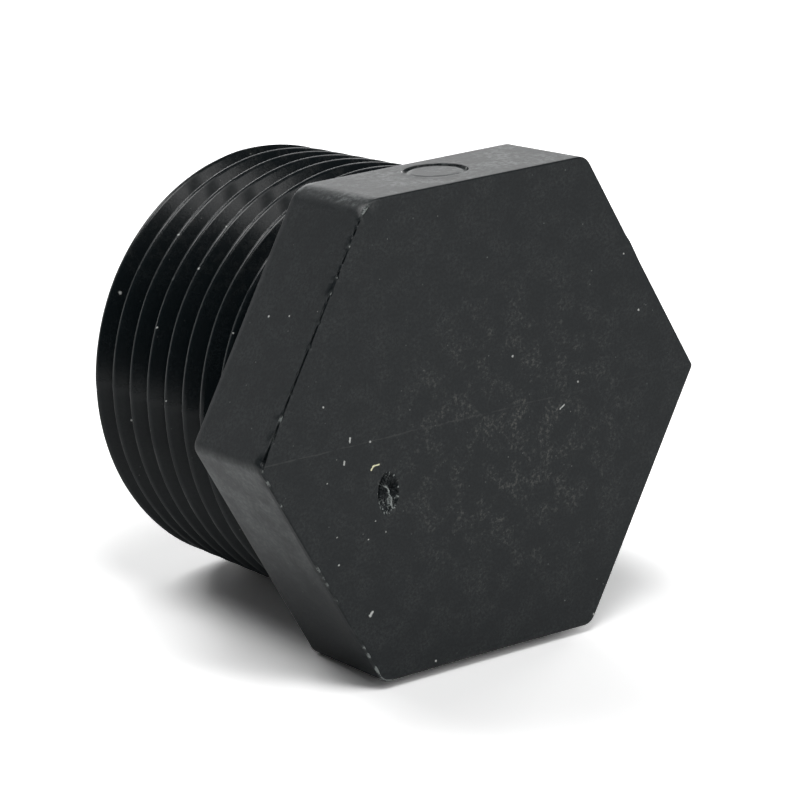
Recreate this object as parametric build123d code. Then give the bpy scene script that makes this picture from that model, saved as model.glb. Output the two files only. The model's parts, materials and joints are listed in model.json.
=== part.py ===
from build123d import *

import os
from math import atan, atan2, ceil, cos, degrees, radians, sin, tan

# A moulded plastic plug that closes a one inch pipe socket.
# It is one solid: a six-sided head for a spanner, a taper thread behind the head,
# and a blind core that opens at the thread's end and keeps the walls even.
# Lengths are in millimetres and angles in degrees.
#
# The plug is modelled on its own axis first. Z runs along the axis, out of the front
# of the head. The head's rear face lies at Z = 0 and the thread runs down from there.
# X points to one corner of the hexagon, and Y to the middle of its upper flat.
# Angles round the axis start at X and turn towards Y.

# Head
across_flats = 36.0
lower_flat_extra = 0.4  # the mould left the lower flat this much further out
head_thickness = 8.5
head_draft = 0.25  # each flat comes in by this much at the rear face
corner_radii = {0: 0.35, 60: 1.25, 120: 2.2, 180: 1.0, 240: 1.2, 300: 1.2}
front_edge_break = 0.12
rear_edge_break = 0.15

# Mark left by the pin that pushed the plug out of its mould, on the upper flat
pin_mark_diameter = 4.9
pin_mark_depth = 0.3
pin_mark_from_front = 4.7
pin_mark_offset = -0.2

# Dimple where the gate was torn off, on the front face
gate_width = 1.9
gate_height = 2.9
gate_depth = 0.3
gate_across = -9.2
gate_up = -3.85

# Taper thread, eleven turns to the inch
pitch = 2.309
gauge_diameter = 33.249  # over the crests, at the gauge plane
gauge_length = 10.4  # from the small end to the gauge plane
thread_length = 19.5
taper_on_diameter = 1 / 16
flank_angle = 27.5
crest_flat = pitch / 6
thread_depth = 0.640327 * pitch
shrinkage = 0.06  # the plastic shrank, so the crests lie this much inside the standard
crest_angle = 150.0
first_crest_from_head = 1.88  # where the first whole crest passes crest_angle
lead_in_chamfer = 0.9

# Core
core_mouth_diameter = 23.0
core_draft_angle = 1.0
floor_thickness = 4.0
core_floor_chamfer = 0.8
core_mouth_chamfer = 0.5

# Worked out from the sizes above
half_taper = atan(taper_on_diameter / 2)
gauge_plane = gauge_length - thread_length
head_side_crest_radius = gauge_diameter / 2 - shrinkage - gauge_plane * tan(half_taper)
core_depth = thread_length + head_thickness - floor_thickness
chamfer_start = thread_length - lead_in_chamfer


def crest_radius(z):
    """Radius of the cone that the crests touch, at height z."""
    return head_side_crest_radius + z * tan(half_taper)


def flat_distance(angle, inset):
    """How far the flat that faces this angle lies from the axis."""
    extra = lower_flat_extra if angle == 270 else 0
    return across_flats / 2 + extra - inset


def sharp_corners(inset):
    """Where neighbouring flats would meet, with each flat moved in by inset."""
    corners = []
    for angle in corner_radii:
        before = (angle - 30) % 360
        near = flat_distance(before, inset)
        far = flat_distance((angle + 30) % 360, inset)
        along = (far - near * cos(radians(60))) / sin(radians(60))
        direction = radians(before)
        corners.append((near * cos(direction) - along * sin(direction),
                        near * sin(direction) + along * cos(direction)))
    return corners


def head():
    """Six-sided head, a little smaller at the rear, with rounded corners and broken edges."""
    outline = Pos(0, 0, head_thickness) * Polygon(*sharp_corners(0), align=None)
    body = extrude(outline, head_thickness, dir=(0, 0, -1),
                   taper=degrees(atan(head_draft / head_thickness)))
    for (x, y), radius in zip(sharp_corners(head_draft / 2), corner_radii.values()):
        upright = body.edges().sort_by_distance((x, y, head_thickness / 2))[0]
        body = fillet(upright, radius)
    body = chamfer(body.faces().sort_by(Axis.Z)[-1].edges(), front_edge_break)
    return chamfer(body.faces().sort_by(Axis.Z)[0].edges(), rear_edge_break)


def thread_ridge():
    """The thread's ridge: two flanks and a crest flat that climb round the root cone."""
    sunk = 0.15  # how far the ridge reaches into the root cone
    base_half = crest_flat / 2 + (thread_depth + sunk) * tan(radians(flank_angle))
    first_at_x = -first_crest_from_head - pitch * crest_angle / 360
    turns_below = ceil((thread_length + base_half + first_at_x) / pitch) + 1
    start = first_at_x - turns_below * pitch
    turns = ceil((base_half - start) / pitch) + 1

    def line(drop, shift):
        z = start + shift
        return Helix(pitch / cos(half_taper), turns * pitch, crest_radius(z) - drop,
                     center=(0, 0, z), cone_angle=degrees(half_taper))

    corners = [line(0, -crest_flat / 2), line(0, crest_flat / 2),
               line(thread_depth + sunk, base_half), line(thread_depth + sunk, -base_half)]
    sides = [Face.make_surface_from_curves(Edge(a.wrapped), Edge(b.wrapped))
             for a, b in zip(corners, corners[1:] + corners[:1])]
    ends = [Face(Wire.make_polygon([line @ end for line in corners])) for end in (0, 1)]
    return Solid(Shell(sides + ends))


def threaded_shank():
    """Root cone and ridge, turned down to the lead-in chamfer at the small end."""
    past = 1.0  # how far the root runs into the head, and the trim stands off the crests
    root = Solid.make_cone(crest_radius(-thread_length) - thread_depth,
                           crest_radius(past) - thread_depth,
                           thread_length + past, Plane(origin=(0, 0, -thread_length)))
    outside = crest_radius(0) + past
    tip = crest_radius(-chamfer_start) - lead_in_chamfer
    limit = Polygon((0, past), (outside, past), (outside, outside - tip - thread_length),
                    (tip, -thread_length), (0, -thread_length), align=None)
    limit = revolve(Plane.XZ * limit, Axis.Z)
    return (root + thread_ridge()) & limit


def core():
    """The space that the mould's core left, wider at its mouth, with a bevelled end."""
    mouth = core_mouth_diameter / 2
    end = mouth - core_depth * tan(radians(core_draft_angle))
    space = Solid.make_cone(mouth, end, core_depth, Plane(origin=(0, 0, -thread_length)))
    space = chamfer(space.edges().filter_by(GeomType.CIRCLE).sort_by(Axis.Z)[-1], core_floor_chamfer)
    flare = Solid.make_cone(mouth + core_mouth_chamfer, mouth, core_mouth_chamfer,
                            Plane(origin=(0, 0, -thread_length)))
    return space + flare


def pin_mark():
    """Shallow round recess in the upper flat."""
    place = Plane(origin=(pin_mark_offset, across_flats / 2, head_thickness - pin_mark_from_front),
                  z_dir=(0, 1, 0))
    return place * Cylinder(pin_mark_diameter / 2, 2 * pin_mark_depth)


def gate_mark():
    """Shallow oval dimple in the front face."""
    oval = Ellipse(gate_width / 2, gate_height / 2)
    return Pos(gate_across, gate_up, head_thickness) * extrude(oval, gate_depth, both=True)


def rest_tilt():
    """Angle by which the axis drops towards the thread's end when the plug lies down.

    It lies on the lower flat, where the rear edge's chamfer begins, and on the last
    crest below the axis that the lead-in chamfer has left.
    """
    first_below = first_crest_from_head - pitch * (270 - crest_angle) / 360 - crest_flat / 2
    count = int((chamfer_start - first_below) / pitch)
    crest_end = min(first_below + count * pitch + crest_flat, chamfer_start)
    flat_end = flat_distance(270, head_draft * (1 - rear_edge_break / head_thickness))
    return degrees(atan2(flat_end - crest_radius(-crest_end), crest_end + rear_edge_break))


plug = head() + threaded_shank()
plug = plug - core() - pin_mark() - gate_mark()

# Lay the plug down: its front faces -Y, its upper flat looks up, and its thread's end
# touches the floor. The origin is on the floor, under the middle of its bounding box.
tilt = rest_tilt()
plug = Rot(90 - tilt, 0, 0) * plug
box = plug.bounding_box()
plug = Pos(-box.center().X, -box.center().Y, -box.min.Z) * plug

os.makedirs("parts", exist_ok=True)
export_step(plug, "parts/pipe_plug.step")
print("tilt", round(tilt, 3), "moved by", -box.center().X, -box.center().Y, -box.min.Z)
print("valid", plug.is_valid, "solids", len(plug.solids()), "volume", round(plug.volume, 1))
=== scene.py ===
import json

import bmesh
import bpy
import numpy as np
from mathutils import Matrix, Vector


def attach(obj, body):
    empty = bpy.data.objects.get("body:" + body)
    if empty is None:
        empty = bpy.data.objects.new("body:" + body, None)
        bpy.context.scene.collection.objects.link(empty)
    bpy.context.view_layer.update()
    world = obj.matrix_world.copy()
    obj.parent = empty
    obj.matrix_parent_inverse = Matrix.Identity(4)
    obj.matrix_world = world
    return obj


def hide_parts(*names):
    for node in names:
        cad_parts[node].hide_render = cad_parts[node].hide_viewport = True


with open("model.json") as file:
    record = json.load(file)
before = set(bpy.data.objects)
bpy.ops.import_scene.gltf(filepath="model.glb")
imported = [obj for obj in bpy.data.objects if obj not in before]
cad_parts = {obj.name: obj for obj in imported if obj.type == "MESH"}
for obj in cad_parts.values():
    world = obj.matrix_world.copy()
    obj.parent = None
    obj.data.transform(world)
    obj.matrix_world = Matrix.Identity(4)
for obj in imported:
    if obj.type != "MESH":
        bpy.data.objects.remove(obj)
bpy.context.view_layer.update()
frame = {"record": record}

# %% [markdown]
# A moulded pipe plug, dressed around its CAD model.
# The CAD model holds every size that matters: the hexagon, the taper thread and the hollow core.
# What it leaves out is what a moulding is like close up: crests and roots that are rounded, an
# edge that was trimmed and nicked, a torn gate, and a black plastic with grain, dust and rubbed
# spots. Small pieces laid on the CAD model would show where they join it. So this script builds
# one fine surface over the same sizes, puts it where the CAD model lies, gives it its material,
# and sets the light and the camera.
#
# Every shape is worked out in the plug's own millimetres: across, up, and out of the front face.
# The CAD model says where the middle of that face is and which way it looks.

MM = 0.001
front_mount = next(m for m in frame["record"]["mounts"] if m["name"] == "front_face")
FACE_MIDDLE = np.array(front_mount["pos_m"])
OUT = np.array(front_mount["axis"]) / np.linalg.norm(front_mount["axis"])
ACROSS = np.array([1.0, 0.0, 0.0])
UP = np.cross(OUT, ACROSS)


def place(points):
    """From the plug's own millimetres to the row's metres.

    A point is (across, up, out) from the middle of the front face, and goes that far along
    each of the three directions that the CAD model gives.
    """
    moved = points[..., :1] * ACROSS + points[..., 1:2] * UP + points[..., 2:] * OUT
    return FACE_MIDDLE + MM * moved


print("front face at", FACE_MIDDLE.round(5), "facing", OUT.round(4))

# %% [markdown]
# The head is a hexagon for a spanner, and each of its six corners is rounded by its own amount.
# It could be a six-sided cylinder with bevelled edges, but the gate, the nicks and the pin's mark
# would then have to be cut into it, and cuts leave long thin faces. A mesh that has the same
# columns from the front face to the bottom of the core shows it all in one closed skin, as long as
# every column knows which flat or which corner it runs along. So a column is described once, and
# a function gives all columns for any inset of the flats. Columns stand closer together on the
# corners, along the flats whose front edges are nicked, and across the pin's mark.

# %% Sizes of the head
# Flats and corners are counted anticlockwise, seen from the front. Corner 0 is the right-hand
# one, and each flat follows the corner of its number. Lengths are in millimetres.
ACROSS_FLATS = 36.0
LOWER_FLAT_EXTRA = 0.4
HEAD_THICKNESS = 8.5
HEAD_DRAFT = 0.25
FLAT_ANGLES = np.radians([30, 90, 150, 210, 270, 330])
UPPER_FLAT, UPPER_LEFT_FLAT, LOWER_FLAT = 1, 2, 4
CORNER_RADII = np.array([0.35, 1.25, 2.2, 1.0, 1.2, 1.2])


def inset_at(behind):
    """Draft of the flats at a distance behind the front face: in proportion to the distance."""
    return HEAD_DRAFT * behind / HEAD_THICKNESS


def arcs(inset):
    """Centres of the six corner arcs: the points that lie a corner radius inside both flats.

    A centre goes out along the normal of the flat before it, and then along that flat, as far
    as brings it to its distance from the flat after it, which is turned by 60 degrees.
    """
    reach = ACROSS_FLATS / 2 + LOWER_FLAT_EXTRA * (np.arange(6) == LOWER_FLAT) - inset
    before = np.roll(FLAT_ANGLES, 1)
    near = np.roll(reach, 1) - CORNER_RADII
    far = reach - CORNER_RADII
    along = (far - near * np.cos(np.pi / 3)) / np.sin(np.pi / 3)
    return np.stack([near * np.cos(before) - along * np.sin(before),
                     near * np.sin(before) + along * np.cos(before)], -1)


def tangent_points(inset):
    """Start and end of each flat, where the arcs beside it touch it."""
    centres = arcs(inset)
    normals = np.stack([np.cos(FLAT_ANGLES), np.sin(FLAT_ANGLES)], -1)
    start = centres + CORNER_RADII[:, None] * normals
    end = np.roll(centres, -1, axis=0) + np.roll(CORNER_RADII, -1)[:, None] * normals
    return start, end


flat_start, flat_end = tangent_points(0.0)
print("flats", np.linalg.norm(flat_end - flat_start, axis=1).round(2), "mm long between the arcs")

# %% [markdown]
# The pin's mark lies on the upper flat, and only columns that stand close together there can show
# its round wall. Even steps along the flat would need far more of them, so that flat has places
# of its own (None in the list): close by the wall, and wider apart towards the corners.

# %% Columns round the head
CORNER_COLUMNS = [6, 10, 16, 12, 10, 8]
FLAT_COLUMNS = [64, None, 140, 110, 50, 30]
PIN_ACROSS = -0.2
PIN_BEHIND = 4.7
PIN_RADIUS = 2.45
PIN_WALL = 0.05


def upper_flat_places():
    """Shares of the way along the upper flat: close together across the pin's mark."""
    start, end = (point[UPPER_FLAT] for point in tangent_points(inset_at(PIN_BEHIND)))
    inner = PIN_RADIUS - PIN_WALL
    wall = PIN_RADIUS + np.array([0, 0.08, 0.3, 0.7, 1.2])
    offsets = np.concatenate([-wall[::-1], np.linspace(-inner, inner, 23), wall])
    pin = (start[0] - PIN_ACROSS + offsets) / np.linalg.norm(end - start)
    return np.concatenate([np.linspace(0.004, pin[0], 14)[:-1], pin,
                           np.linspace(pin[-1], 0.996, 16)[1:]])


def column_table():
    """Flat or corner of each column, and its share of the way along it, once round the head.

    A corner gives even steps of angle, and a flat gives even steps between its two arcs, apart
    from the upper one.
    """
    number, on_corner, share = [], [], []
    for k in range(6):
        turns = np.arange(CORNER_COLUMNS[k]) / (CORNER_COLUMNS[k] - 1)
        steps = (upper_flat_places() if k == UPPER_FLAT
                 else (np.arange(FLAT_COLUMNS[k]) + 0.5) / FLAT_COLUMNS[k])
        number.append(np.full(len(turns) + len(steps), k))
        on_corner.append(np.arange(len(turns) + len(steps)) < len(turns))
        share.append(np.concatenate([turns, steps]))
    return np.concatenate(number), np.concatenate(on_corner), np.concatenate(share)


# Which way a column faces: as its flat does, or turned back from it on the corner before it.
column_part, column_on_corner, column_share = column_table()
column_turn = np.pi / 3 * (1 - column_share) * column_on_corner
column_facing = FLAT_ANGLES[column_part] - column_turn
column_normal = np.column_stack([np.cos(column_facing), np.sin(column_facing)])


def outline(inset):
    """The rounded hexagon, one point a column, with every flat moved in by inset.

    On a corner it is the arc's centre plus its radius the way the column faces. On a flat it
    is the column's share of the way between the ends of the two arcs.
    """
    start, end = tangent_points(inset)
    arc = arcs(inset)[column_part] + CORNER_RADII[column_part, None] * column_normal
    flat = start[column_part] + column_share[:, None] * (end - start)[column_part]
    return np.where(column_on_corner[:, None], arc, flat)


full_outline = outline(0.0)
column_up = full_outline[:, 1]
column_angle = np.unwrap(np.arctan2(full_outline[:, 1], full_outline[:, 0]))
column_degrees = np.degrees(column_angle)
COLUMNS = len(column_angle)
print("columns", COLUMNS, "from", column_degrees[0].round(2), "to",
      column_degrees[-1].round(2), "degrees")

# %% [markdown]
# Small unevenness makes a moulding look real. A noise texture on a Displace modifier could give
# it, but its bumps fall where they like. Here it is worked out from sums of a few sine waves with
# fixed phases, which is smooth, repeats without a seam round the plug, and is the same each run.
# Two more shapes, a bell and a ramp, say where something begins and ends.

# %% Waves, bells and ramps
def waves(angle, counts, seed):
    """A sum of sines of the angle, one for each whole number in counts, about 1 high in all."""
    phases = np.random.default_rng(seed).uniform(0, 2 * np.pi, len(counts))
    parts = [np.sin(count * angle + phase) for count, phase in zip(counts, phases)]
    return np.sum(parts, axis=0) / np.sqrt(len(counts))


def bell(value, middle, width):
    """1 at the middle, falling off on both sides as exp(-(distance / width) squared)."""
    return np.exp(-((value - middle) / width) ** 2)


def ramp(value, low, high):
    """0 below low, 1 above high, and a straight line between."""
    return np.clip((value - low) / (high - low), 0, 1)


def ring(across_up, out):
    """A row of the mesh: one point a column, at one distance out of the face."""
    return np.column_stack([across_up, np.broadcast_to(out, len(across_up))])


print("a bell one width from its middle is", round(float(bell(1.0, 0.0, 1.0)), 3), "high")

# %% [markdown]
# The plug was moulded through a gate in its front face, and the sprue was torn off there. What is
# left is a shallow oval crater: a groove along its left rim, a slanting ridge of torn fibres that
# went pale when they stretched, and a pit beside it. It could be sculpted, but then it couldn't be
# changed by a number, so each of these is a bell or a ramp in one formula for the depth.

# %% The torn gate
GATE = np.array([-9.2, -4.0])
GATE_HALF = np.array([0.98, 1.6])
GATE_FLOOR = 0.14
PIT_DEPTH = 0.36
RIM_GROOVE_DEPTH = 0.24
TEAR_DEPTH = 0.05
RIDGE_HEIGHT = 0.17
DEEPEST = 0.5


def ridge(spot):
    """The torn ridge: a bell round a bent line that slants down to the right, between two ends."""
    x, y = spot.T
    line = -0.12 + 0.42 * np.sin(1.1 * (0.45 - y)) + 0.05 * np.sin(9 * y)
    width = 0.13 + 0.04 * np.sin(13 * y + 1)
    return bell(x, line, width) * ramp(y, 0.75, 0.5) * ramp(y, -1.45, -1.1)


def torn_noise(spot):
    """Roughness of the tear: sines of places that other sines have shifted, about 1 high."""
    x, y = spot.T
    bent_x = x + 0.13 * np.sin(7 * y + 1) + 0.05 * np.sin(19 * y)
    bent_y = y + 0.17 * np.sin(8 * x + 2) + 0.05 * np.sin(23 * x)
    coarse = np.sin(15 * bent_x + 2 * bent_y) * np.sin(9 * bent_y + 1)
    fine = np.sin(31 * bent_x - 3 * bent_y + 2) * np.sin(17 * bent_y + 4)
    return coarse + fine + 0.6 * np.sin(8 * bent_x + 11 * bent_y)


def gate_depth(spot, share):
    """How deep the crater is at spots round its middle, given their share of its radius.

    A flat bottom, deeper in the pit and in the groove at the left rim, less deep on the ridge,
    and roughened by the tear. It rises to the face over the last eighth of the radius.
    """
    x, y = spot.T
    pit = bell(x, 0.42, 0.22) * bell(y, 0.20, 0.50)
    groove = bell(share, 0.84, 0.10) * ramp(-x, -0.1, 0.4) * ramp(y, -0.7, 0.2)
    depth = (GATE_FLOOR + PIT_DEPTH * pit + RIM_GROOVE_DEPTH * groove
             + TEAR_DEPTH * torn_noise(spot) - RIDGE_HEIGHT * ridge(spot))
    return np.clip(depth, 0, DEEPEST) * ramp(share, 1.0, 0.88)


def gate_paleness(spot, share, fray):
    """How pale the torn plastic is, on the crater's ring at one share of its radius.

    It is pale on the ridge, in spots of the tear below the middle and at the top, and where
    the rim is frayed.
    """
    y = spot[:, 1]
    torn = torn_noise(spot)
    fibres = 0.6 * ridge(spot) + 0.7 * ramp(torn, 0.1, 0.9) * ramp(y, 0.1, -0.9)
    fibres += 0.45 * ramp(torn, 0.5, 1.3) * ramp(y, 0.3, 0.8)
    return fibres * (share < 0.96) + 0.7 * fray * (0.9 < share < 1.05)


print("the gate's crater is", 2 * GATE_HALF, "mm wide and high")

# %% [markdown]
# The front face is flat, but its front edge isn't even: the plastic is rounded a little more along
# the lower flat and where the edge was trimmed. A face filled with one large polygon would shade
# badly beside the crater, so it is a fan of rings. The innermost rings have the crater's shape, and
# further out they change step by step into the hexagon, so the most points lie where the face has
# the most shape.

# %% Rings from the gate to the front edge
GATE_RINGS = np.concatenate([np.linspace(0.05, 0.95, 19), [0.98, 1.0, 1.06]])
FACE_STEPS = np.array([0.012, 0.035, 0.075, 0.13, 0.21, 0.31, 0.43, 0.57, 0.72, 0.86, 0.96, 0.992])
EDGE_RADIUS = 0.12
LOWER_EDGE_EXTRA = 0.20
TRIMMED_EDGE_EXTRA = 0.03


def edge_size():
    """Radius of the rounded front edge: small, larger along the lower flat and the trimmed one."""
    lower = bell(column_degrees, 272, 26)
    trimmed = ramp(column_degrees, 119, 123) * ramp(column_degrees, 181, 179)
    return EDGE_RADIUS + LOWER_EDGE_EXTRA * lower + TRIMMED_EDGE_EXTRA * trimmed


def face_rings():
    """Rows from the gate's middle out to where the front edge begins to round.

    In the crater a point lies at a share of the oval's radius, in its column's direction.
    Outside it goes in steps from the oval's rim to the hexagon.
    """
    inner = full_outline - edge_size()[:, None] * column_normal
    heading = np.arctan2(*(inner - GATE).T[::-1])
    ragged = 1 + 0.035 * waves(heading, [2, 3, 5, 9], seed=3)
    fray = ramp(waves(heading, [11, 17, 26, 41], seed=5), 0.1, 1.1)
    oval = np.column_stack([np.cos(heading), np.sin(heading)]) * GATE_HALF * ragged[:, None]
    rows, pale = [], []
    for share in np.concatenate([[0.0], GATE_RINGS]):
        spot = oval * share
        rows.append(ring(GATE + spot, -gate_depth(spot, np.full(COLUMNS, share))))
        pale.append(gate_paleness(spot, share, fray))
    rim = GATE + oval * GATE_RINGS[-1]
    for step in FACE_STEPS:
        rows.append(ring(rim + (inner - rim) * step, 0.0))
        pale.append(np.zeros(COLUMNS))
    return rows, pale


face_rows, face_pale = face_rings()
print("rings on the front face", len(face_rows))

# %% [markdown]
# The mould closed along the front edge, and the flash there was trimmed with a knife. On the upper
# left flat this left a fine crack, broken into dashes near the top. On both left flats the edge
# has small nicks, where the plastic went pale, and a chip is gone at the left corner. The upper
# edge has three small dents, and the upper right one a burr. A bump map couldn't change the edge's
# outline, so these are shape. The nicks are a table, so that each can be moved, and a column takes
# its share of each from a bell.

# %% Nicks and the crack along the front edge
# Each nick: how far up it lies, its half width and its depth in millimetres, and how pale it is.
NICKS = np.array([
    [17.40, 0.45, 0.16, 0.70], [14.95, 0.18, 0.08, 0.55], [12.88, 0.12, 0.06, 0.60],
    [11.82, 0.20, 0.08, 0.50], [9.90, 0.12, 0.07, 0.35], [8.27, 0.14, 0.06, 0.30],
    [5.12, 0.12, 0.06, 0.55], [3.45, 0.22, 0.12, 1.00], [2.20, 0.40, 0.12, 0.55],
    [0.55, 0.40, 0.24, 0.00], [-0.15, 0.22, 0.12, 0.60], [-1.19, 0.24, 0.16, 0.95],
    [-3.06, 0.22, 0.08, 0.60], [-8.55, 0.35, 0.14, 0.75], [-9.25, 0.20, 0.10, 0.65],
    [-9.85, 0.22, 0.14, 0.80], [-11.2, 0.25, 0.08, 0.45], [-13.9, 0.25, 0.05, 0.25],
    [-15.3, 0.30, 0.09, 0.50], [-16.1, 0.30, 0.12, 0.60], [-17.3, 0.30, 0.09, 0.55]])
BURR_HEIGHT = 0.13
DENT_DEPTH = 0.05
CRACK_DEPTH = 0.17

on_left = (column_degrees > 117) & (column_degrees < 243)
nick_shares = bell(column_up[:, None], NICKS[:, 0], NICKS[:, 1]) * on_left[:, None]
burr = BURR_HEIGHT * ramp(column_degrees, 38.2, 36.6) * ramp(column_degrees, 30.5, 36.0)
top_dents = DENT_DEPTH * (bell(column_degrees, 116.0, 0.5) + bell(column_degrees, 72.6, 0.6)
                          + bell(column_degrees, 98, 0.4))
nick_depth = nick_shares @ NICKS[:, 2] - burr + top_dents


def crack_depth():
    """Depth of the crack in each column: whole below the middle of the flat, dashes above.

    It is deepest near the left corner, and ends just short of both corners.
    """
    on_flat = (column_part == UPPER_LEFT_FLAT) & ~column_on_corner
    uneven = 0.8 + 0.25 * waves(column_angle, [47, 71, 113], seed=21)
    dashes = ramp(waves(column_angle, [60, 77, 131, 167], seed=22), -0.25, 0.15)
    whole = ramp(column_up, 13.0, 9.0)
    ends = ramp(column_up, 0.2, 0.8) * ramp(column_up, 17.3, 16.6)
    deeper = 1 + 0.9 * bell(column_up, 0.8, 1.2)
    return on_flat * CRACK_DEPTH * uneven * (whole + (1 - whole) * dashes) * ends * deeper


crack = crack_depth()
print("deepest nick", nick_depth.max().round(3), "mm, deepest crack", crack.max().round(3), "mm")

# %% [markdown]
# A rounded edge is a quarter circle from the face to the flat. A Bevel modifier would round every
# edge alike, so here each column turns its own quarter circle, with its own radius. That leaves
# the nicks and the crack easy to add: they push the same points back, in or both.

# %% Rows over the front edge
EDGE_TURNS = np.radians([0, 15, 30, 45, 60, 75, 90])
CRACK_SHARES = [0, 0.7, 1.0, 1.0, 0.9, 0.4, 0]
NICK_ROUNDING = 0.6
NICK_SHIFT = 0.5
SCUFF_WAVES = [67, 91, 139, 181]


def edge_paleness():
    """How pale the edge is in each column: at nicks, at scuffs low down, at two corners, and in a
    painted reflection along the lower edge.
    """
    broken = nick_shares @ NICKS[:, 3]
    scuffs = ramp(waves(column_angle, SCUFF_WAVES, seed=31), -0.3, 0.9)
    scuffed = 0.30 * ramp(column_up, -12.5, -16) * scuffs * on_left
    corner = 0.5 * bell(column_degrees, 300.5, 1.2) + 0.5 * bell(column_degrees, 241, 3.0)
    # The pale band along the lower edge, broken into specks, is a painted reflection of the paper
    # in its wider rounding.
    specks = ramp(waves(column_angle, SCUFF_WAVES, seed=32), 0.3, 1.5)
    corner += 0.45 * bell(column_degrees, 262, 18) * specks
    return broken + scuffed + corner


def front_edge_rows():
    """Quarter circle from the face to the flats, cut back at a nick and cleft at the crack.

    A nick makes the quarter circle larger and moves it back. The crack moves the middle rows
    into the plastic, square to the quarter circle. Only rows between the first and last are pale.
    """
    cut = np.clip(nick_depth, 0, None)
    size = edge_size() + NICK_ROUNDING * cut
    paleness_along = edge_paleness()
    rows, pale = [], []
    for turn, cleft in zip(EDGE_TURNS, CRACK_SHARES):
        inward = (size * (1 - np.sin(turn)) + nick_depth * NICK_SHIFT
                  + cleft * crack * np.sin(turn))
        back = size * (1 - np.cos(turn)) + cut * NICK_SHIFT + cleft * crack * np.cos(turn)
        rows.append(ring(full_outline - inward[:, None] * column_normal, -back))
        pale.append(paleness_along * (1 - 0.5 * np.sin(turn)) * (0 < turn < 1.5))
    return rows, pale


edge_rows, edge_pale = front_edge_rows()
print("rows over the front edge", len(edge_rows))

# %% [markdown]
# Behind the front edge the rows run down the flats and over the rear edge. An ejector pin pushed
# the plug out of the mould, and left its mark on the upper flat: a shallow disc with a groove
# round it. A boolean could cut it, but would leave a ragged ring of thin faces. Instead, squares of
# the grid are pulled into circles round its middle, so that its wall follows a true circle without
# any extra faces.

# %% Rows down the flats, with the pin's mark, and over the rear edge
PIN_DEPTH = 0.2
DISC_DEPTH = 0.07
GROOVE_WIDTH = 0.2
LIP_HEIGHT = 0.03
REAR_EDGE = 0.2


def side_depths():
    """Distances behind the front face of the rows down a flat, with the pin's wall among them."""
    inner = PIN_RADIUS - PIN_WALL
    half = np.array([0, 0.8, 1.5, inner - 2 * GROOVE_WIDTH, inner - GROOVE_WIDTH, inner,
                     PIN_RADIUS, PIN_RADIUS + 0.1, PIN_RADIUS + 0.5])
    mark = np.concatenate([-half[:0:-1], half])
    return np.concatenate([[0.58, 1.0], PIN_BEHIND + mark, [7.95, HEAD_THICKNESS - REAR_EDGE]])


def pin_relief(distance):
    """How far the flat is sunk, and its lip raised, at a distance from the mark's middle.

    The wall goes down to the groove, the disc inside it lies less deep, and the thin lip
    stands just outside the wall.
    """
    inner = PIN_RADIUS - PIN_WALL
    disc = inner - GROOVE_WIDTH
    sunk = PIN_DEPTH * ramp(distance, PIN_RADIUS, inner)
    sunk = sunk - (PIN_DEPTH - DISC_DEPTH) * ramp(distance, disc, disc - GROOVE_WIDTH)
    return sunk, LIP_HEIGHT * bell(distance, PIN_RADIUS + 0.08, 0.07)


def side_row(behind):
    """One row down the flats, with the pin's mark pressed into the upper one.

    A point's square distance from the mark's middle is the larger of its two offsets. Near the
    mark the point is moved along its own direction until its true distance equals that.
    """
    row = ring(outline(inset_at(behind)), -behind)
    offset = np.column_stack([row[:, 0] - PIN_ACROSS, np.full(COLUMNS, PIN_BEHIND - behind)])
    square = np.abs(offset).max(axis=1)
    true = np.maximum(np.hypot(*offset.T), 1e-9)
    fade = ramp(square, 1.5 * PIN_RADIUS, PIN_RADIUS)
    fade = fade * fade * (3 - 2 * fade)
    moved = offset * (1 + fade * (square / true - 1))[:, None]
    sunk, lip = pin_relief(square)
    height = ACROSS_FLATS / 2 - inset_at(PIN_BEHIND - moved[:, 1]) - sunk + lip
    marked = np.column_stack([PIN_ACROSS + moved[:, 0], height, moved[:, 1] - PIN_BEHIND])
    on_mark = (column_part == UPPER_FLAT) & ~column_on_corner & (fade > 0)
    return np.where(on_mark[:, None], marked, row)


def rear_edge_rows():
    """Quarter circle from the flats to the rear face."""
    rows = []
    for turn in np.radians([30, 60, 90]):
        inward = inset_at(HEAD_THICKNESS) + REAR_EDGE * (1 - np.cos(turn))
        rows.append(ring(outline(inward), -HEAD_THICKNESS + REAR_EDGE * (1 - np.sin(turn))))
    return rows


side_rows = [side_row(behind) for behind in side_depths()] + rear_edge_rows()
print("rows down the head", len(side_rows))

# %% [markdown]
# A 55 degree pipe thread has straight flanks between a rounded crest and a rounded root, and its
# diameter shrinks towards the end. A Screw modifier could wind such a profile, but it couldn't run
# out at the head and at the end as the real thread does. So rows of the mesh follow the helix: each
# keeps its place on the thread's profile, and sinks by one pitch in a turn. Above the head's rear
# face and below the thread's end the rows are held at that level, and the points that coincide
# there are merged later. The two halves of the mould didn't meet exactly, so the lower half of the
# thread stands a few hundredths further out. The bevel at its end is 0.2 mm longer than the CAD
# model's, as in the photograph.

# %% The thread's profile
PITCH = 2.309
THREAD_LENGTH = 19.5
CREST_RADIUS_AT_HEAD = 16.848875
TAPER = 1 / 32
ROUNDING = 0.137329 * PITCH
FLANK = np.radians(27.5)
CREST_ANGLE = np.radians(150)
FIRST_CREST = 1.88
LEAD_IN = 1.1
PARTING = np.radians(178.8)
MISMATCH = 0.04
SHRINK_WAVES = 0.012
ARC_END = ROUNDING * np.cos(FLANK)


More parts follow.
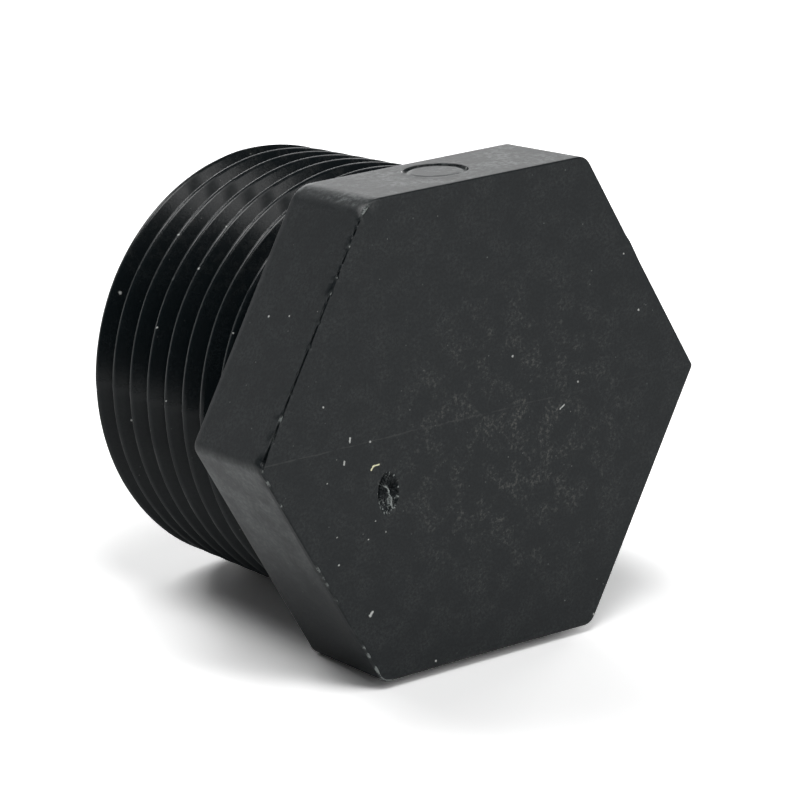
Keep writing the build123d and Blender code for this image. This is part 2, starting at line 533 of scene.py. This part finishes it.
def drop_below_crest(away):
    """How far the surface lies under the crest line, at an axial distance from the crest.

    Up to the end of the crest's arc it is the arc, then a straight flank, then the root's arc,
    which is the same arc turned over.
    """
    away = np.abs((away + PITCH / 2) % PITCH - PITCH / 2)
    crest = ROUNDING - np.sqrt(np.clip(ROUNDING ** 2 - np.minimum(away, ARC_END) ** 2, 0, None))
    flank = np.clip(away - ARC_END, 0, PITCH / 2 - 2 * ARC_END) / np.tan(FLANK)
    left = PITCH / 2 - np.maximum(away, PITCH / 2 - ARC_END)
    foot = ROUNDING * (1 - np.sin(FLANK)) - (ROUNDING - np.sqrt(ROUNDING ** 2 - left ** 2))
    root = np.where(away > PITCH / 2 - ARC_END, foot, 0)
    return crest + flank + root


def mould_error(angle):
    """Step between the mould's halves, and a little waviness from shrinking."""
    lower = 0.5 + 0.5 * np.clip(-60 * np.sin(angle - PARTING), -1, 1)
    return MISMATCH * (lower - 1) + SHRINK_WAVES * waves(angle, [3, 5, 8, 13], seed=41)


print("thread from", round(2 * CREST_RADIUS_AT_HEAD, 2), "mm across at the head to",
      round(2 * (CREST_RADIUS_AT_HEAD - TAPER * THREAD_LENGTH), 2), "mm, depth",
      round(float(drop_below_crest(np.array(PITCH / 2))), 3))

# %% [markdown]
# The crests are where a thread is handled and knocked, so they are rubbed paler in uneven lines.
# These pale lines are also a painted highlight: they stand in for the thin line of light that each
# rounded crest catches. Painting them by hand would take a texture. A number for each point does as
# well, because a row of points runs along each crest.

# %% The thread's rows
PROFILE = np.array([0, 0.4, 0.75, 1]) * ARC_END
ROOT_PROFILE = PITCH / 2 - np.array([1, 0.6]) * ARC_END
TURNS = np.arange(-2, 10)


def crest_level_at(turns_down, angle):
    """Distance of a crest's line out of the rear face: it sinks by one pitch in a turn."""
    return -FIRST_CREST + PITCH * ((angle - CREST_ANGLE) / (2 * np.pi) - turns_down)


def thread_row(turns_down, away, angle):
    """Points of one row, at a fixed distance from a crest, held between the thread's ends.

    The radius is the crest's on the taper, less the profile's drop, and nowhere more than the
    bevel at the thread's end allows.
    """
    crest_level = crest_level_at(turns_down, angle)
    level = np.clip(crest_level - away, -THREAD_LENGTH, 0)
    radius = (CREST_RADIUS_AT_HEAD + TAPER * level - drop_below_crest(level - crest_level)
              + mould_error(angle))
    lead_in_start = CREST_RADIUS_AT_HEAD - TAPER * (THREAD_LENGTH - LEAD_IN)
    radius = np.minimum(radius, lead_in_start + level + THREAD_LENGTH - LEAD_IN)
    return np.column_stack([radius * np.cos(angle), radius * np.sin(angle),
                            level - HEAD_THICKNESS])


def crest_wear_and_highlight(turns_down, away, angle):
    """How pale each whole crest is painted: an uneven line of wear and painted highlight, and
    nothing elsewhere.
    """
    if away > 0:
        return np.zeros_like(angle)
    crest_level = crest_level_at(turns_down, angle)
    whole = (crest_level < 0) & (crest_level > LEAD_IN - THREAD_LENGTH)
    seed = 60 + int(turns_down)
    spots = ramp(waves(angle, [43, 71, 97, 151], seed), 0.9, 1.9)
    return whole * (0.05 + 0.03 * waves(angle, [9, 17, 29], seed) + 0.40 * spots)


def thread_rows(angle):
    """All rows of the thread, from above the head's rear face to below the thread's end."""
    one_turn = np.concatenate([PROFILE, ROOT_PROFILE, [PITCH / 2], (PITCH - ROOT_PROFILE)[::-1],
                               (PITCH - PROFILE[1:])[::-1]])
    places = [(turns_down, away) for turns_down in TURNS for away in one_turn]
    return ([thread_row(*spot, angle) for spot in places],
            [crest_wear_and_highlight(*spot, angle) for spot in places])


closed_angle = np.append(column_angle, column_angle[0] + 2 * np.pi)
threads, thread_pale = thread_rows(closed_angle)
print("rows of the thread", len(threads))

# %% [markdown]
# The far end is a plain ring with a hollow core in it, which keeps the walls of the moulding even.
# The mould's core pin left straight walls with a little draft and a rounded corner at the bottom.
# The same columns go on over the ring and down the hole as plain circles, which closes the skin
# without a boolean.

# %% Thread end and core
CORE_MOUTH = 11.5
CORE_DRAFT = np.tan(np.radians(1.0))
FLOOR_THICKNESS = 4.0
CORE_DEPTH = THREAD_LENGTH + HEAD_THICKNESS - FLOOR_THICKNESS
CORE_MOUTH_CHAMFER = 0.5
CORE_CORNER = 0.8


def circle_row(radius, behind, angle):
    """A plain circle round the axis."""
    return np.column_stack([radius * np.cos(angle), radius * np.sin(angle),
                            np.full(len(angle), -behind)])


def core_rows(angle):
    """From the end ring over the mouth's bevel, down the wall, round the corner to the middle."""
    end = THREAD_LENGTH + HEAD_THICKNESS
    bottom = CORE_MOUTH - CORE_DRAFT * CORE_DEPTH
    places = [(CORE_MOUTH + CORE_MOUTH_CHAMFER, end), (CORE_MOUTH, end - CORE_MOUTH_CHAMFER)]
    for share in (0.3, 0.6, 0.85):
        places.append((CORE_MOUTH - CORE_DRAFT * CORE_DEPTH * share, end - CORE_DEPTH * share))
    for turn in np.radians([0, 30, 60, 90]):
        places.append((bottom - CORE_CORNER * (1 - np.cos(turn)),
                       end - CORE_DEPTH + CORE_CORNER * (1 - np.sin(turn))))
    places += [(bottom * 0.5, end - CORE_DEPTH), (0, end - CORE_DEPTH)]
    return [circle_row(radius, behind, angle) for radius, behind in places]


core = core_rows(closed_angle)
print("rows of the core", len(core), "depth", CORE_DEPTH, "mm")

# %% [markdown]
# All rows become one grid of points. Its last column closes on its first, but on the thread that
# meets one turn further on, so the seam isn't joined by counting. The last column is added as a
# copy of the first, one turn on, and points in the same place are merged, which also closes the
# two middles and drops the rows that were held at the thread's ends. The paleness of each point
# goes into an attribute, which the material reads.

# %% Put the grid together
def around(rows):
    """Adds the closing column to rows that are the same after one turn."""
    return [np.concatenate([row, row[:1]]) for row in rows]


head_grid = around(face_rows + edge_rows + side_rows)
rear_face = [head_grid[-1] + (threads[0] - head_grid[-1]) * share for share in (0.25, 0.9)]
grid = np.array(head_grid + rear_face + threads + core)
paleness = np.zeros(grid.shape[:2])
first_pale = np.array(around(face_pale + edge_pale))
paleness[:len(first_pale)] = first_pale
first_thread = len(head_grid) + len(rear_face)
paleness[first_thread:first_thread + len(threads)] = thread_pale
index = np.arange(paleness.size).reshape(paleness.shape)
quads = np.stack([index[:-1, :-1], index[1:, :-1], index[1:, 1:], index[:-1, 1:]], -1)
quads = quads.reshape(-1, 4)
print("grid", grid.shape[0], "rows by", grid.shape[1], "columns")

# %% [markdown]
# The mesh is shaded smooth, as a moulding is, and only edges that turn by more than an angle stay
# sharp, such as the pin's wall. A Subdivision Surface would round those too, and multiply the
# faces. The open edges are counted and the volume is measured, because they show whether the skin
# is closed and the right way out.

# %% Make the mesh and merge what coincides
MERGE = 2e-7
SHARP = np.radians(38)


def make_mesh(name, points, faces, shades):
    """A mesh from whole arrays, with points in one place merged and normals pointing out."""
    mesh = bpy.data.meshes.new(name)
    mesh.from_pydata(points.reshape(-1, 3), [], faces)
    shade = mesh.attributes.new("paleness", "FLOAT", "POINT")
    shade.data.foreach_set("value", np.clip(shades, 0, 1).ravel())
    work = bmesh.new()
    work.from_mesh(mesh)
    bmesh.ops.remove_doubles(work, verts=work.verts, dist=MERGE)
    bmesh.ops.dissolve_degenerate(work, edges=work.edges, dist=MERGE)
    bmesh.ops.recalc_face_normals(work, faces=work.faces)
    open_edges = sum(1 for edge in work.edges if len(edge.link_faces) != 2)
    volume = work.calc_volume(signed=True)
    work.to_mesh(mesh)
    work.free()
    mesh.shade_smooth()
    mesh.set_sharp_from_angle(angle=float(SHARP))
    mesh.update()
    triangles = sum(len(face.vertices) - 2 for face in mesh.polygons)
    print(name, "triangles", triangles, "open edges", open_edges,
          "volume", round(volume / MM ** 3), "cubic millimetres")
    return mesh


plug_mesh = make_mesh("moulded_plug", place(grid), quads, paleness)
plug = bpy.data.objects.new("moulded_plug", plug_mesh)
bpy.context.scene.collection.objects.link(plug)
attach(plug, "root")
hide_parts("pipe_plug")

# %% [markdown]
# Shader maths reads best as plain formulas. A small class wraps a socket, so that adding or
# multiplying two of them adds the Math node that does it. Wiring the same nodes by hand would
# take several lines for each step, and hide what they work out.

# %% A socket that can be calculated with
class Value:
    """An output socket. Arithmetic on it adds Math nodes to its tree."""

    def __init__(self, tree, socket=None):
        self.tree = tree
        self.socket = socket

    def add(self, kind, settings=None, inputs=None, output=0):
        """Adds a node: first its settings, then the values or links of its inputs."""
        node = self.tree.nodes.new(kind)
        for name, value in (settings or {}).items():
            setattr(node, name, value)
        for key, value in (inputs or {}).items():
            if isinstance(value, Value):
                self.tree.links.new(value.socket, node.inputs[key])
            else:
                node.inputs[key].default_value = value
        return Value(self.tree, node.outputs[output] if node.outputs else None)

    def other(self, output):
        """Another output of the node that this value comes from."""
        return Value(self.tree, self.socket.node.outputs[output])

    def math(self, operation, *values):
        """A number worked out by a Math node from the values, in their order."""
        return self.add("ShaderNodeMath", {"operation": operation}, dict(enumerate(values)))

    def vector(self, operation, *others, output=0):
        """A Vector Math node on this value and the others. Its output 1 is a number."""
        values = dict(enumerate((self, *others)))
        return self.add("ShaderNodeVectorMath", {"operation": operation}, values, output)

    def __add__(self, other):
        return self.math("ADD", self, other)

    def __sub__(self, other):
        return self.math("SUBTRACT", self, other)

    def __rsub__(self, other):
        return self.math("SUBTRACT", other, self)

    def __mul__(self, other):
        return self.math("MULTIPLY", self, other)

    __radd__ = __add__
    __rmul__ = __mul__

    def rise(self, low, high):
        """0 below low and 1 above high, with a smooth step between."""
        return self.add("ShaderNodeMapRange", {"interpolation_type": "SMOOTHSTEP"},
                        {"Value": self, "From Min": low, "From Max": high})

    def near(self, middle, width):
        """1 at the middle, falling smoothly to 0 over the width on both sides."""
        return 1 - self.math("ABSOLUTE", self - middle).rise(0, width)

    def larger(self, other):
        """The larger of two numbers, which joins two masks."""
        return self.math("MAXIMUM", self, other)

    def distance(self, place_at):
        """How far this place is from another."""
        return self.vector("DISTANCE", place_at, output=1)

    def blend(self, low, high):
        """A colour between two colours, by this value."""
        return self.add("ShaderNodeMix", {"data_type": "RGBA"}, {0: self, 6: low, 7: high}, 2)


def tint(red, green, blue):
    """A colour with full opacity."""
    return (red, green, blue, 1)


print("sockets can be added, multiplied and blended")

# %% [markdown]
# The plug is black polypropylene. Its colour is nearly the same everywhere, and what the eye sees
# is the gloss: a fine grain on the head from the eroded steel of the mould, and a smoother thread.
# An image could carry all of it, but would blur close up. Patterns from nodes stay sharp, and each
# is laid out in the plug's own millimetres, so that its scale can be read off.

# %% Where a point of the surface lies
material = bpy.data.materials.new("black_polypropylene")
material.use_nodes = True
tree = material.node_tree
shader = tree.nodes["Principled BSDF"]
coordinates = Value(tree).add("ShaderNodeTexCoord", output="Object")
offset = coordinates.vector("SUBTRACT", tuple(FACE_MIDDLE))


def millimetres_along(direction):
    """Distance from the middle of the front face, along one direction."""
    return offset.vector("DOT_PRODUCT", tuple(direction), output=1) * (1 / MM)


across = millimetres_along(ACROSS)
up = millimetres_along(UP)
out = millimetres_along(OUT)
spot = across.add("ShaderNodeCombineXYZ", inputs={0: across, 1: up, 2: out})
on_face = out.rise(-0.08, -0.02)
on_thread = out.rise(0.05 - HEAD_THICKNESS, -0.05 - HEAD_THICKNESS)


def noise(scale, detail=2.0, roughness=0.5):
    """Soft random values from 0 to 1, with so many waves to a millimetre."""
    return spot.add("ShaderNodeTexNoise", inputs={"Vector": spot, "Scale": scale,
                                                  "Detail": detail, "Roughness": roughness})


print("nodes for the place of a point", len(tree.nodes))

# %% [markdown]
# A plug that has been handled carries dust. As meshes this would be hundreds of tiny loose
# pieces, so it is masks in the material. The larger specks and fibres lie where the photograph
# shows them, each given by its place or its two ends. All the others come from a cell pattern:
# its cells each have one point, and a third of the cells show theirs as a speck.

# %% Dust, fibres and a crumb of packing
# Each speck: across, up and out in millimetres, and its radius.
SPECKS = [
    (-14.91, 3.55, 0, 0.10), (-10.74, 0.15, 0, 0.13), (-14.78, -2.17, 0, 0.08),
    (-14.05, -6.38, 0, 0.09), (-11.16, -7.15, 0, 0.09), (-10.45, -5.87, 0, 0.08),
    (-13.94, -8.50, 0, 0.11), (-9.52, -6.89, 0, 0.08), (-5.18, -17.84, 0, 0.13),
    (9.19, 0.89, 0, 0.11), (15.34, 5.33, 0, 0.12), (13.94, 9.92, 0, 0.10),
    (2.86, 4.03, 0, 0.13), (10.38, -17.65, -0.05, 0.16), (-15.22, 9.30, -5.71, 0.13),
    (-15.06, 9.71, -3.44, 0.09), (-11.22, 11.98, -21.98, 0.14), (-13.95, 7.25, -26.03, 0.18),
    (-12.86, 10.45, -17.34, 0.14), (-10.06, 13.16, -17.47, 0.12), (-15.36, 5.98, -19.46, 0.11),
    (-16.55, 1.01, -17.02, 0.10), (-15.31, -1.95, -23.32, 0.12), (-15.14, 7.22, -10.23, 0.09),
    (2.15, 17.75, -3.92, 0.16)]
# Each fibre, and each half of the bent crumb: two ends, across and up on the face, and its half
# width.
FIBRES = [((-12.57, 0.78), (-12.60, 0.48), 0.10), ((-13.14, -0.85), (-13.18, -1.08), 0.10),
          ((-11.22, -12.96), (-11.00, -12.72), 0.15), ((7.40, -0.88), (7.80, -0.64), 0.08)]
CRUMB = [((-10.70, -1.96), (-10.50, -1.72), 0.10), ((-10.52, -1.72), (-9.98, -1.70), 0.09)]
SOLID_SHARE = 0.3


def shifted(scale, reach):
    """The place of a point, moved by up to a reach by noise, which makes outlines ragged."""
    colours = spot.add("ShaderNodeTexNoise", inputs={"Vector": spot, "Scale": scale},
                       output="Color")
    moved = colours.vector("SUBTRACT", (0.5, 0.5, 0.5))
    return moved.vector("MULTIPLY_ADD", (reach,) * 3, spot)


ragged_spot = shifted(7.0, 0.16)


def speck(place_at, radius):
    """1 round a point, fading from a share of the radius out to the radius."""
    return ragged_spot.distance(place_at).rise(radius, SOLID_SHARE * radius)


def fibre(start, end, half_width):
    """1 along the straight line between two points of the front face.

    The point's share of the way is its offset from the start, dotted with the line and
    divided by the line's length squared, kept between 0 and 1.
    """
    first = (*start, 0.0)
    run = np.subtract((*end, 0.0), first)
    away = ragged_spot.vector("SUBTRACT", first)
    share = away.vector("DOT_PRODUCT", tuple(run / (run @ run)), output=1)
    share = share.add("ShaderNodeClamp", inputs={"Value": share})
    nearest = share.add("ShaderNodeVectorMath", {"operation": "SCALE"},
                        {0: tuple(run), "Scale": share})
    return away.distance(nearest).rise(half_width, SOLID_SHARE * half_width)


def union(parts):
    """The largest of several masks."""
    whole = parts[0]
    for part in parts[1:]:
        whole = whole.larger(part)
    return whole


def crumbs(cells, radius, share):
    """Small specks: the points of a cell pattern, shown in a share of the cells."""
    distance = spot.add("ShaderNodeTexVoronoi", inputs={"Vector": spot, "Scale": cells},
                        output="Distance")
    chance = spot.add("ShaderNodeSeparateXYZ", inputs={0: distance.other("Color")})
    shown = chance.rise(1 - share, 1.02 - share)
    return distance.rise(radius * cells, 0.4 * radius * cells) * shown


dusty = noise(0.16, 3.0, 0.6).rise(0.40, 0.68)
fine_dust = crumbs(1.3, 0.075, 0.35) * (0.15 + 0.6 * dusty)
dust = union([speck(place_at, radius) for *place_at, radius in SPECKS]
             + [fibre(*line) for line in FIBRES])
crumb = union([fibre(*line) for line in CRUMB])
print("specks", len(SPECKS), "fibres", len(FIBRES))

# %% [markdown]
# The face is rubbed cloudy right of its middle, where other plugs knocked against it. The mould's
# halves also left a hairline across the face, level with its left and right corners. Both are too
# shallow to need any shape, so they are masks: noise that is cut off at a level, and a thin line
# that noise bends and breaks. The pale edges read the paleness that was given to the points.

# %% Rubbed places, the hairline and pale edges
rubbed_area = spot.distance((2.5, -2.0, 0.0)).rise(15.0, 3.0)
rubbed = noise(0.45, 5.0, 0.7).rise(0.47, 0.62) * noise(3.2, 3.0, 0.7).rise(0.47, 0.66)
rubbed = rubbed * (0.12 + 0.88 * rubbed_area) * on_face
wander = noise(0.35) * 0.3
broken_line = noise(0.9, 3.0, 0.6).rise(0.34, 0.62)
hairline = (up - wander).near(0.02, 0.09) * broken_line * on_face
hairline = hairline * (0.35 + 0.65 * across.rise(10.0, 4.0))
pale = spot.add("ShaderNodeAttribute", {"attribute_name": "paleness"}, output="Fac")
fleck_noise = noise(8.0, 3.0, 0.7)
flecks = fleck_noise.rise(0.36, 0.62)
pale_edge = (pale + 0.9 * fleck_noise - 0.74).rise(0.0, 0.28).larger(0.3 * pale)
print("nodes so far", len(tree.nodes))

# %% [markdown]
# The colour is built up in layers, most of them like dirt on the real plug: black plastic that is
# mottled from close by, then rubbed places, a film of dust on the upper flat, with the pin's disc
# painted lighter against the shade in its recess, dust near the left corner mixed with a painted
# reflection of the paper, dust in the thread, the hairline, pale edges and crests that are partly
# wear and partly painted highlight and reflection, and at last the specks. Each layer is one mask
# and one colour, so a layer can be changed without touching the others.

# %% Layers of colour
DISC_MIDDLE = (PIN_ACROSS, ACROSS_FLATS / 2 - DISC_DEPTH - 0.14, -PIN_BEHIND)
mottle = noise(0.45, 4.0, 0.6).rise(0.32, 0.68)
speckle = noise(4.2, 3.0, 0.8).rise(0.36, 0.66) * (0.30 + 0.70 * mottle)
speckle = speckle * (1 - 0.65 * on_thread) + 0.2 * on_thread
dust_grain = noise(2.6, 4.0, 0.7).rise(0.38, 0.70)
dust_patches = 0.2 + 0.8 * noise(0.35, 3.0, 0.6).rise(0.38, 0.62)
top_dust = dust_grain * dust_patches * up.rise(17.2, 17.5) * out.rise(-0.1, -0.3)
# The pin's disc is painted lighter, in the dust's colour: painted light that lifts the shade its
# wall casts into the shallow recess.
pin_disc = spot.distance(DISC_MIDDLE).rise(2.42, 2.36)
# Near the left corner the lower left flat is painted paler: dust, together with a painted
# reflection of the lit paper that this flat mirrors.
left_dust_and_reflection = (0.45 + 0.55 * dust_grain) * (0.3 + 0.7 * mottle)
left_dust_and_reflection = left_dust_and_reflection * across.rise(-12.5, -18.5) * up.rise(0.4, -0.6) * out.rise(-0.3, -0.6)
thread_dust = noise(1.3, 5.0, 0.7).rise(0.45, 0.80) * on_thread * up.rise(6.0, 14.0)
LAYERS = [(rubbed, tint(0.085, 0.087, 0.080)),
          # Dust on the upper flat, and the pin's disc painted lighter against the shade of its
          # recess.
          (top_dust.larger(0.2 * pin_disc), tint(0.125, 0.138, 0.138)),
          # Dust and a painted reflection of the paper near the left corner.
          (left_dust_and_reflection * (1 - on_thread), tint(0.110, 0.122, 0.122)),
          (thread_dust, tint(0.030, 0.032, 0.032)),
          (hairline * 0.7, tint(0.040, 0.043, 0.042)),
          (pale_edge, tint(0.34, 0.37, 0.36)),
          (fine_dust, tint(0.22, 0.23, 0.22)),
          (dust, tint(0.62, 0.64, 0.62)),
          (crumb, tint(0.95, 0.93, 0.62))]
colour = speckle.blend(tint(0.0004, 0.0034, 0.0052), tint(0.0170, 0.0215, 0.0232))
for mask, layer in LAYERS:
    colour = mask.blend(colour, layer)
tree.links.new(colour.socket, shader.inputs["Base Color"])
print("layers of colour", len(LAYERS))

# %% [markdown]
# The head is dull with grain, and the thread is smoother on its upper half than on its lower one.
# Small square marks on top of the thread, one in each turn, are duller still, as if the mould's
# steel was eroded there. Dust and torn plastic have hardly any gloss. A material for each would
# meet the next at a hard border, so it is one number that masks change. The grain itself is a
# bump, because it is far finer than the mesh.

# %% Roughness and bump
PATCH_ACROSS = -6.45
PATCH_LEVEL = -10.13
GLOSS_INDEX = 1.43
clouds = noise(0.12, 4.0, 0.6)
grain = noise(5.0, 3.0, 0.65)
below_patch = out.math("PINGPONG", out - PATCH_LEVEL, PITCH / 2)
eroded = across.near(PATCH_ACROSS, 1.0) * below_patch.rise(0.5, 0.1) * on_thread
eroded = eroded * up.rise(8.0, 12.0)
lower_half = up.rise(2.2, -2.8) * on_thread
rough = 0.34 + 0.07 * grain + 0.05 * clouds - 0.19 * on_thread + 0.30 * lower_half
rough = rough + 0.4 * eroded + 0.15 * rubbed + 0.4 * dust.larger(pale_edge)
rough = rough + 0.25 * pale.rise(0.0, 0.04) * on_thread
tree.links.new(rough.socket, shader.inputs["Roughness"])
# Heights of the bump, in millimetres.
height = 0.006 * grain + 0.02 * dust.larger(crumb) + 0.012 * hairline
height = height + 0.02 * (pale * flecks) + 0.010 * fine_dust
bumped = height.add("ShaderNodeBump", inputs={"Height": height, "Strength": 1.0, "Distance": MM})
tree.links.new(bumped.socket, shader.inputs["Normal"])
shader.inputs["IOR"].default_value = GLOSS_INDEX
plug.data.materials.append(material)
print("nodes in the plastic", len(tree.nodes))

# %% [markdown]
# The plug stands on white paper. Light meets it as the matt white that it is, and bounces up from
# it as from real paper. More light would make it look whiter, but would also wash out the plug.
# Instead the camera alone sees the paper brighter, so that the sheet comes out white and the
# shadow stays in it. The plug's gloss mirrors the paper a little darker than it is, as the black
# face does in the photograph. The number goes straight into the Diffuse colour, because a Mix
# node would hold its factor at 1.

# %% Paper
HALF_SHEET = 3.0
PAPER = 0.88
PAPER_SEEN = 1.66
PAPER_MIRRORED = 0.80
floor_mesh = bpy.data.meshes.new("paper_floor")
corners = HALF_SHEET * np.array([[-1, -1, 0], [1, -1, 0], [1, 1, 0], [-1, 1, 0]])
floor_mesh.from_pydata(corners, [], [(0, 1, 2, 3)])
floor = bpy.data.objects.new("paper_floor", floor_mesh)
bpy.context.scene.collection.objects.link(floor)
paper = bpy.data.materials.new("white_paper")
paper.use_nodes = True
paper.node_tree.nodes.clear()
start = Value(paper.node_tree)
seen = start.add("ShaderNodeLightPath", output="Is Camera Ray")
mirrored = seen.other("Is Glossy Ray").larger(seen.other("Is Transmission Ray"))
pulp = start.add("ShaderNodeTexNoise", inputs={"Scale": 900.0}, output="Fac")
white = PAPER + (PAPER_MIRRORED - PAPER) * mirrored + (PAPER_SEEN - PAPER) * seen
white = white + 0.02 * (pulp - 0.5)
matt = start.add("ShaderNodeBsdfDiffuse", inputs={"Color": white})
start.add("ShaderNodeOutputMaterial", inputs={"Surface": matt})
floor.data.materials.append(paper)
print("paper", PAPER, "seen by the camera as", PAPER_SEEN, "and by gloss as", PAPER_MIRRORED)

# %% [markdown]
# A black object shows its lamps more than its colour, so where they stand matters more than how
# strong they are. A room picture round the scene would light it too, but its parts couldn't be
# moved. Here square soft boxes stand round the plug. The ones over it and high behind it light
# the paper, the face and the left flats. The lower ones behind it draw the upper flat, its corners
# and the upper left flat. The ones in front draw the face and the sheen on the thread.

# %% Lamps and the room
# Each soft box: its azimuth and elevation in degrees, seen from the plug, and its brightness.
SOFT_BOXES = [("ceiling_box", 240, 74, 7.1), ("back_high_box", 120, 52, 8.4),
              ("back_right_box", 22.5, 8, 9.8), ("back_box", 67.5, 8, 3.3),
              ("back_left_box", 112.5, 8, 1.2), ("back_middle_box", 45, 8, 1.15),
              ("right_box", 45, 30, 1.6), ("front_low_box", 292.5, 8, 3.1),
              ("front_box", 292.5, 33, 2.4), ("front_high_box", 288, 52, 1.75)]
BOX_SIDE = 0.27
BOX_DISTANCE = 0.7
BOX_AIM = Vector((0, 0, 0.015))
ROOM_STRENGTH = 0.035
world = bpy.data.worlds.new("white_room")
bpy.context.scene.world = world
world.use_nodes = True
world.node_tree.nodes["Background"].inputs["Color"].default_value = tint(1, 1, 1)
world.node_tree.nodes["Background"].inputs["Strength"].default_value = ROOM_STRENGTH


def soft_box(name, azimuth, elevation, brightness):
    """A square area lamp, seen from the plug in one direction and facing it.

    Its watts are its brightness times pi times its area, so that 1 is as bright as white.
    """
    turn, lift = np.radians([azimuth, elevation])
    toward = Vector((np.cos(lift) * np.cos(turn), np.cos(lift) * np.sin(turn), np.sin(lift)))
    lamp = bpy.data.lights.new(name, "AREA")
    lamp.shape = "SQUARE"
    lamp.size = BOX_SIDE
    lamp.energy = brightness * np.pi * BOX_SIDE ** 2
    holder = bpy.data.objects.new(name, lamp)
    holder.location = BOX_AIM + toward * BOX_DISTANCE
    holder.rotation_euler = toward.to_track_quat("Z", "Y").to_euler()
    bpy.context.scene.collection.objects.link(holder)
    return lamp.energy


watts = [soft_box(*box) for box in SOFT_BOXES]
print("soft boxes", len(SOFT_BOXES), "with", round(sum(watts), 2), "watts in all")

# %% [markdown]
# The camera stands where the photograph was taken from. It could be set by eye, but the outline
# would then be off by some pixels. So its place, aim, roll and focal length were worked out from
# the hexagon's edges, the turns of the thread and the thread's end.

# %% Camera at the photograph's angle
EYE = Vector((-0.211235, -0.258649, 0.137150))
AIM = Vector((0.003233, 0.0, 0.015323))
ROLL = np.radians(2.349)
LENS = 210.09
SENSOR = 36.0
camera_data = bpy.data.cameras.new("camera")
camera_data.sensor_width = SENSOR
camera_data.lens = LENS
camera_data.clip_start = 0.01
camera = bpy.data.objects.new("camera", camera_data)
facing = (EYE - AIM).to_track_quat("Z", "Y").to_matrix().to_4x4()
camera.matrix_world = Matrix.Translation(EYE) @ facing @ Matrix.Rotation(float(ROLL), 4, "Z")
bpy.context.scene.collection.objects.link(camera)
bpy.context.scene.camera = camera
bpy.context.scene.view_settings.view_transform = "Standard"
print("the camera is", round((EYE - AIM).length, 3), "m from what it looks at")
